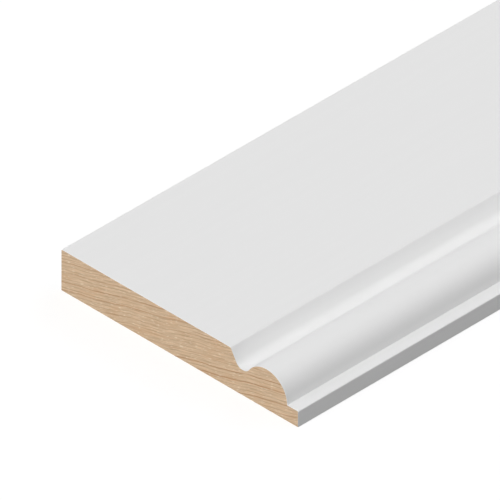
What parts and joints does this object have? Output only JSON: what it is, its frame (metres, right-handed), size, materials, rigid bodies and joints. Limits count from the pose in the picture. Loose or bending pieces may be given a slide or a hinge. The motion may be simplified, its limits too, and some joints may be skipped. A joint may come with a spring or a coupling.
{
  "type": "skirting board",
  "caption": "Length of flat-backed wooden skirting with an ogee moulding along one edge: a cove, a half-round bead and a square lip. White face, bare wood ends and back.",
  "frame": {"origin": "middle of the back face, which is the face that goes against the wall and that the board lies on", "axes": "+X across the board, from the plain floor edge to the moulded lip; +Y along the board; +Z out of the back face, towards the moulded face"},
  "size_m": [0.12, 2.4, 0.018],
  "materials": {
    "painted_softwood": "satin"
  },
  "bodies": {
    "root": {"skirting_board": "painted_softwood"}
  },
  "joints": []
}
